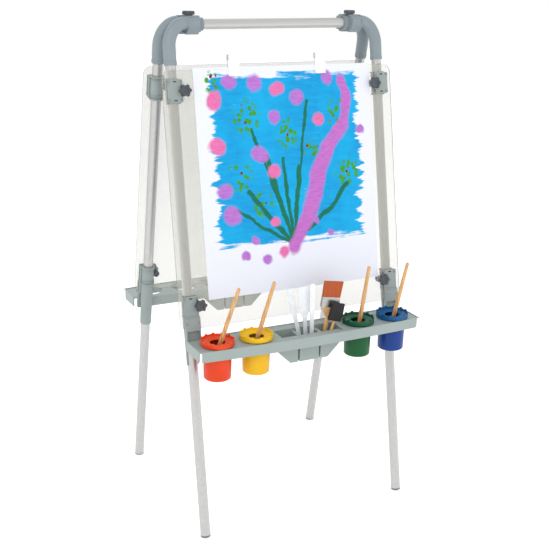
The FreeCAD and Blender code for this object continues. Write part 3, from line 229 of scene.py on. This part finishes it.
def wood_at(m, scale=1.0, light=(222, 178, 122), dark=(176, 124, 72), axis_map=None):
    v = axis_map or m.scaled((420.0 * scale, 420.0 * scale, 14.0 * scale))
    grain = m.noise(1.0, 5.0, 0.65, v, 0.4)
    return grain, m.ramp(grain, [(0.30, srgb(*dark)), (0.52, srgb(*light)), (0.75, times(srgb(*light), 1.08))])


def handle_material(name, cut, tip):
    """Varnished handle above the height tip, metal collar between the heights
    cut and tip, bristles below."""
    m = Mat(name)
    x, y, z = m.xyz()
    grain, wood = wood_at(m, 1.0, (216, 166, 104), (150, 98, 52))
    hairs = m.noise(1.0, 3.0, 0.7, m.scaled((1600.0, 1600.0, 30.0)))
    rings = m.noise(1.0, 2.0, 0.5, m.scaled((60.0, 60.0, 900.0)))
    metal = m.mix(rings, srgb(150, 150, 148), srgb(212, 212, 210))
    bristle = m.mix(hairs, srgb(196, 176, 140), srgb(232, 220, 192))
    not_bristle = m.math("GREATER_THAN", z, cut)
    is_handle = m.math("GREATER_THAN", z, tip)
    base = m.mix(is_handle, m.mix(not_bristle, bristle, metal), wood)
    m.set(Base_Color=base, Roughness=m.rng(grain, 0.3, 0.7, 0.32, 0.5),
          Metallic=m.math("MULTIPLY", not_bristle, m.math("SUBTRACT", 1.0, is_handle)))
    m.p.inputs["Coat Weight"].default_value = 0.4
    m.p.inputs["Coat Roughness"].default_value = 0.15
    return m.bump(grain, 0.15, 0.0003).m


def cup_material(name, c, lid=False):
    m = Mat(name)
    flow = m.noise(16.0, 4.0, 0.6)
    fine = m.noise(700.0, 2.0, 0.5)
    base = m.ramp(flow, [(0.3, times(c, 0.92)), (0.75, times(c, 1.08))])
    m.set(Base_Color=base, Roughness=m.rng(fine, 0.3, 0.7, 0.30, 0.42))
    m.p.inputs["Specular IOR Level"].default_value = 0.30
    return m.bump(fine, 0.06, 0.0003).m


def spreader_material():
    m = Mat("spreader_clear")
    flow = m.noise(24.0, 3.0, 0.6)
    fine = m.noise(500.0, 2.0, 0.5)
    base = m.ramp(flow, [(0.3, srgb(232, 236, 240)), (0.7, srgb(250, 252, 253))])
    m.set(Base_Color=base, Roughness=m.rng(fine, 0.3, 0.7, 0.18, 0.3), Alpha=m.rng(flow, 0.3, 0.7, 0.72, 0.86))
    m.p.inputs["Subsurface Weight"].default_value = 0.3
    m.p.inputs["Subsurface Radius"].default_value = (0.01, 0.01, 0.01)
    m.p.inputs["Subsurface Scale"].default_value = 0.4
    return m.bump(fine, 0.05, 0.0003).m


def clip_material():
    m = Mat("clip_white")
    flow = m.noise(30.0, 3.0, 0.6)
    fine = m.noise(800.0, 2.0, 0.5)
    base = m.ramp(flow, [(0.3, srgb(226, 228, 228)), (0.7, srgb(242, 243, 243))])
    m.set(Base_Color=base, Roughness=m.rng(fine, 0.3, 0.7, 0.34, 0.46))
    m.p.inputs["Subsurface Weight"].default_value = 0.15
    m.p.inputs["Subsurface Radius"].default_value = (0.006, 0.006, 0.006)
    m.p.inputs["Subsurface Scale"].default_value = 0.3
    return m.bump(fine, 0.05, 0.0003).m


def banded_tool(name, stops, fibre_above, base, lean):
    """Leaning tool: colour by length along it from its low end at base, wood
    grain low down, fibres above the given length."""
    m = Mat(name)
    x, y, z = m.xyz()
    sn, cs = math.sin(math.radians(lean)), math.cos(math.radians(lean))
    t = m.math("ADD", m.math("MULTIPLY", m.math("SUBTRACT", x, base[0]), sn),
               m.math("MULTIPLY", m.math("SUBTRACT", z, base[1]), cs))
    grain, wood = wood_at(m)
    fibres = m.noise(1.0, 3.0, 0.7, m.scaled((1500.0, 900.0, 18.0)))
    metal_lines = m.noise(1.0, 2.0, 0.5, m.scaled((60.0, 60.0, 1200.0)))
    metal = m.mix(metal_lines, srgb(150, 150, 148), srgb(214, 214, 212))
    top = m.mix(fibres, stops["fibre_dark"], stops["fibre_light"])
    is_metal = m.math("GREATER_THAN", t, stops["metal"])
    is_top = m.math("GREATER_THAN", t, fibre_above)
    base = m.mix(is_metal, wood, metal)
    base = m.mix(is_top, base, top)
    metallic = m.math("MULTIPLY", is_metal, m.math("SUBTRACT", 1.0, is_top))
    rough = m.math("ADD", m.math("MULTIPLY", is_top, 0.45), 0.35)
    m.set(Base_Color=base, Metallic=metallic, Roughness=rough)
    return m.bump(fibres, 0.25, 0.0006).m


def painting_material():
    """Loose gouache picture: ragged blue field with brushed streaks, a fan of
    dark stems, dabbed green patches, violet and pink daubs, bare margins."""
    m = Mat("gouache_sheet")
    th = TH
    x, y, z = m.xyz()
    # paper coordinates: u across 0..1, v up the sheet 0..1
    lo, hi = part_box("painting_paper")
    u = m.rng(x, lo.x, hi.x, 0.0, 1.0)
    v = m.rng(z, lo.z, hi.z, 0.0, 1.0)
    uv = m.n("ShaderNodeCombineXYZ", i0=u, i1=v).outputs[0]
    wob = m.n("ShaderNodeTexNoise", Vector=uv, Scale=6.0, Detail=3.0, Roughness=0.6).outputs["Color"]
    wob2 = m.n("ShaderNodeVectorMath", _operation="SUBTRACT", i0=wob, i1=(0.5, 0.5, 0.5)).outputs[0]
    wob3 = m.n("ShaderNodeVectorMath", _operation="SCALE", i0=wob2)
    wob3.inputs["Scale"].default_value = 0.06
    uvw = m.n("ShaderNodeVectorMath", _operation="ADD", i0=uv, i1=wob3.outputs[0]).outputs[0]
    uu, vv, _ = m.n("ShaderNodeSeparateXYZ", i0=uvw).outputs

    streak = m.noise(1.0, 4.0, 0.65, m.n("ShaderNodeMapping", Vector=uv, Scale=(9.0, 70.0, 1.0), Rotation=(0, 0, 0.5)).outputs[0], 0.8)
    dry = m.noise(1.0, 5.0, 0.7, m.n("ShaderNodeMapping", Vector=uv, Scale=(22.0, 120.0, 1.0), Rotation=(0, 0, 0.3)).outputs[0], 0.4)
    paper_c = srgb(224, 227, 238)
    base = m.mix(m.noise(300.0, 3.0, 0.6), times(paper_c, 0.985), paper_c)

    rag = m.math("MULTIPLY", m.math("SUBTRACT", m.noise(1.0, 4.0, 0.6, m.n("ShaderNodeMapping", Vector=uv, Scale=(3.0, 34.0, 1.0),
                 Rotation=(0, 0, 0.45)).outputs[0]), 0.5), 0.20)

    def ragged(cu, cv, hu, hv):
        a = m.rng(m.math("ADD", m.math("ABSOLUTE", m.math("SUBTRACT", uu, cu)), rag), hu, hu - 0.012, 0.0, 1.0)
        b = m.rng(m.math("ADD", m.math("ABSOLUTE", m.math("SUBTRACT", vv, cv)), m.math("MULTIPLY", rag, 0.6)), hv, hv - 0.012, 0.0, 1.0)
        return m.math("MULTIPLY", a, b)

    def line(x0, y0, x1, y1, w):
        dx, dy = x1 - x0, y1 - y0
        q = dx * dx + dy * dy
        t = m.math("MULTIPLY", m.math("SUBTRACT", uu, x0), dx / q)
        t = m.math("ADD", t, m.math("MULTIPLY", m.math("SUBTRACT", vv, y0), dy / q), clamp=True)
        du = m.math("SUBTRACT", m.math("SUBTRACT", uu, x0), m.math("MULTIPLY", t, dx))
        dv = m.math("SUBTRACT", m.math("SUBTRACT", vv, y0), m.math("MULTIPLY", t, dy))
        d = m.math("SQRT", m.math("ADD", m.math("MULTIPLY", du, du), m.math("MULTIPLY", dv, dv)))
        return m.rng(d, w, w * 0.6, 0.0, 1.0)

    def dots(scale, size):
        vor = m.n("ShaderNodeTexVoronoi", Vector=uv, Scale=scale).outputs["Distance"]
        return m.math("LESS_THAN", vor, size)

    def blob(cu, cv, ru, rv, soft=0.12):
        du = m.math("DIVIDE", m.math("SUBTRACT", uu, cu), ru)
        dv = m.math("DIVIDE", m.math("SUBTRACT", vv, cv), rv)
        d = m.math("SQRT", m.math("ADD", m.math("MULTIPLY", du, du), m.math("MULTIPLY", dv, dv)))
        return m.rng(d, 1.0, 1.0 - soft, 0.0, 1.0)

    def lay(mask, c0, c1, tex, cover=1.0):
        nonlocal base
        paint = m.mix(tex, c0, c1)
        f = m.math("MULTIPLY", mask, m.rng(dry, 0.22, 0.36, 0.55 * cover, cover))
        base = m.mix(f, base, paint)

    patches = m.noise(4.0, 3.0, 0.6, uv)
    deep = m.mix(m.rng(patches, 0.4, 0.62, 0.0, 1.0), srgb(0, 112, 186), srgb(0, 152, 212))
    lay(ragged(0.50, 0.59, 0.42, 0.375), deep, srgb(10, 176, 226), streak)
    for cu, cv, ru in ((0.27, 0.78, 0.10), (0.22, 0.53, 0.085), (0.80, 0.78, 0.085), (0.50, 0.71, 0.09), (0.84, 0.50, 0.085), (0.33, 0.40, 0.075), (0.10, 0.93, 0.06), (0.62, 0.62, 0.06)):
        lay(m.math("MULTIPLY", blob(cu, cv, ru, ru * 0.95, 0.4), dots(36.0, 0.42)), srgb(16, 112, 44), srgb(84, 176, 48), streak)
        lay(m.math("MULTIPLY", blob(cu + 0.01, cv + 0.012, ru * 0.75, ru * 0.7, 0.5), dots(27.0, 0.20)), srgb(70, 14, 24), srgb(150, 28, 34), streak)
    for x1, y1, w in ((0.26, 0.46, 0.013), (0.20, 0.38, 0.010), (0.36, 0.62, 0.013), (0.30, 0.72, 0.009), (0.46, 0.60, 0.013), (0.62, 0.84, 0.010), (0.84, 0.45, 0.013), (0.55, 0.55, 0.012)):
        lay(line(0.50, 0.19, x1, y1, w), srgb(6, 78, 74), srgb(22, 128, 88), streak)
    path = ((0.50, 0.19), (0.60, 0.33), (0.66, 0.50), (0.72, 0.62), (0.82, 0.72), (0.86, 0.86), (0.83, 0.93))
    for (x0, y0), (x1, y1), w in zip(path, path[1:], (0.045, 0.05, 0.05, 0.045, 0.035, 0.03)):
        lay(line(x0, y0, x1, y1, w), srgb(142, 66, 170), srgb(214, 132, 204), dry)
    daubs = ((0.10, 0.86, 0.05), (0.19, 0.93, 0.045), (0.33, 0.93, 0.05), (0.45, 0.90, 0.045), (0.56, 0.86, 0.05), (0.75, 0.94, 0.04),
             (0.10, 0.66, 0.055), (0.13, 0.47, 0.05), (0.33, 0.62, 0.05), (0.40, 0.54, 0.045), (0.16, 0.36, 0.06), (0.43, 0.78, 0.04),
             (0.68, 0.76, 0.04), (0.22, 0.17, 0.03), (0.34, 0.15, 0.035), (0.44, 0.17, 0.035), (0.28, 0.24, 0.03), (0.93, 0.70, 0.03),
             (0.40, 0.31, 0.03), (0.72, 0.24, 0.022), (0.64, 0.30, 0.02))
    for i, (cu, cv, ru) in enumerate(daubs):
        a, b = ((126, 70, 176), (208, 138, 212)) if i % 3 else ((196, 62, 138), (234, 138, 188))
        lay(blob(cu, cv, ru, ru * 0.85, 0.35), srgb(*a), srgb(*b), dry)
    m.set(Base_Color=base, Roughness=m.rng(streak, 0.2, 0.8, 0.55, 0.8))
    m.p.inputs["Specular IOR Level"].default_value = 0.25
    return m.bump(streak, 0.10, 0.0004).m


mat_knob, mat_steel, mat_brass = knob_material(), steel_material(), brass_material()
mat_panel = panel_material()
mat_clip, mat_spreader = clip_material(), spreader_material()
CUPS = {"orange": (srgb(216, 60, 14), srgb(222, 66, 18)), "yellow": (srgb(222, 172, 14), srgb(232, 186, 18)),
        "green": (srgb(0, 84, 40), srgb(0, 78, 52)), "blue": (srgb(8, 54, 130), srgb(4, 80, 132))}
cup_mats = {c: (cup_material(c + "_body", b), cup_material(c + "_top", l, True)) for c, (b, l) in CUPS.items()}
mat_handle = handle_material("brush_handle", 0.4486, 0.4720)


def assign(name, mat):
    ob = N[name]
    ob.data.materials.clear()
    ob.data.materials.append(mat)


mat_flat = banded_tool("flat_brush_finish", {"metal": 0.1255, "fibre_dark": srgb(132, 54, 22), "fibre_light": srgb(204, 100, 46)},
                       0.152, (0.0520, 0.4400), 9.5)
mat_foam = banded_tool("foam_brush_finish", {"metal": 0.9, "fibre_dark": srgb(20, 20, 22), "fibre_light": srgb(44, 44, 46)},
                       0.094, (0.0535, 0.4400), 16.0)
mat_paint = painting_material()

for name in N:
    if name == "crossbar_tube":
        assign(name, mat_tube_x)
    elif name.endswith("leg_tube"):
        assign(name, mat_tube_f if name.startswith("front") else mat_tube_r)
    elif name.endswith("_elbow"):
        assign(name, mat_elbow)
    elif name.endswith("foot_plugs"):
        assign(name, mat_foot)
    elif name.endswith("_knob") or name.endswith("_knob_nuts"):
        assign(name, mat_knob)
    elif name.endswith("_screws"):
        assign(name, mat_steel)
    elif name == "crossbar_inserts":
        assign(name, mat_brass)
    elif name.endswith("_panel"):
        assign(name, mat_panel)
    elif name.endswith("_tray"):
        assign(name, mat_tray)
    elif "clamp" in name or "bracket" in name:
        assign(name, mat_fitting)
    elif name.endswith("_paint_cup"):
        assign(name, cup_mats[name.split("_")[0]][0])
    elif name.endswith("_cup_lid"):
        assign(name, cup_mats[name.split("_")[0]][1])
    elif name.endswith("_cup_brush"):
        assign(name, mat_handle)
    elif name == "plastic_spreaders":
        assign(name, mat_spreader)
    elif name == "flat_brush":
        assign(name, mat_flat)
    elif name == "foam_brush":
        assign(name, mat_foam)
    elif name == "painting_paper":
        assign(name, mat_paint)
    elif name.endswith("_paper_clip"):
        assign(name, mat_clip)

# ------------------------------------------------------------------- stage
me = bpy.data.meshes.new("studio_floor")
s = 12.0
me.from_pydata([(-s, -s, 0), (s, -s, 0), (s, s, 0), (-s, s, 0)], [], [(0, 1, 2, 3)])
floor = bpy.data.objects.new("studio_floor", me)
bpy.context.scene.collection.objects.link(floor)
fm = Mat("floor_white")
fn = fm.noise(3.0, 3.0, 0.5)
fm.set(Base_Color=fm.mix(fn, (0.90, 0.90, 0.90), (0.93, 0.93, 0.93)), Roughness=0.75)
fm.p.inputs["Specular IOR Level"].default_value = 0.1
fm.p.inputs["Emission Color"].default_value = (1.0, 1.0, 1.0, 1.0)
fm.p.inputs["Emission Strength"].default_value = 0.30
me.materials.append(fm.m)

world = bpy.data.worlds.new("studio")
bpy.context.scene.world = world
world.use_nodes = True
bg = world.node_tree.nodes["Background"]
bg.inputs[0].default_value = (1.0, 1.0, 1.0, 1.0)
bg.inputs[1].default_value = 1.0


def area(name, loc, target, size, power):
    d = bpy.data.lights.new(name, "AREA")
    d.shape = "RECTANGLE"
    d.size, d.size_y = size
    d.energy = power
    o = bpy.data.objects.new(name, d)
    o.location = loc
    o.rotation_euler = (Vector(target) - Vector(loc)).to_track_quat("-Z", "Y").to_euler()
    bpy.context.scene.collection.objects.link(o)
    return o


area("key", (-2.2, -2.6, 3.4), (0, 0, 0.7), (2.4, 2.4), 34)
area("fill", (3.2, -2.2, 1.8), (0, 0, 0.7), (2.2, 2.6), 12)
area("back", (0.6, 3.2, 2.8), (0, 0, 0.8), (3.0, 2.0), 14)

# ------------------------------------------------------------------ camera
AZ, EL, ROLL, DIST, TX, TZ, FPX = 26.797, 17.699, 1.189, 2.7144, 0.02386, 0.5918, 993.47
a, e, r = math.radians(AZ), math.radians(EL), math.radians(ROLL)
back = Vector((-math.sin(a) * math.cos(e), -math.cos(a) * math.cos(e), math.sin(e)))
right = Vector((math.cos(a), -math.sin(a), 0.0))
up = back.cross(right)
R = right * math.cos(r) + up * math.sin(r)
U = up * math.cos(r) - right * math.sin(r)
cam_data = bpy.data.cameras.new("camera")
cam_data.sensor_fit = "HORIZONTAL"
cam_data.sensor_width = 36.0
cam_data.lens = FPX / 550.0 * 36.0
cam = bpy.data.objects.new("camera", cam_data)
loc = Vector((TX, 0, TZ)) + back * DIST
cam.matrix_world = Matrix(((R.x, U.x, back.x, loc.x), (R.y, U.y, back.y, loc.y), (R.z, U.z, back.z, loc.z), (0, 0, 0, 1)))
bpy.context.scene.collection.objects.link(cam)
bpy.context.scene.camera = cam
bpy.context.scene.view_settings.view_transform = "Standard"
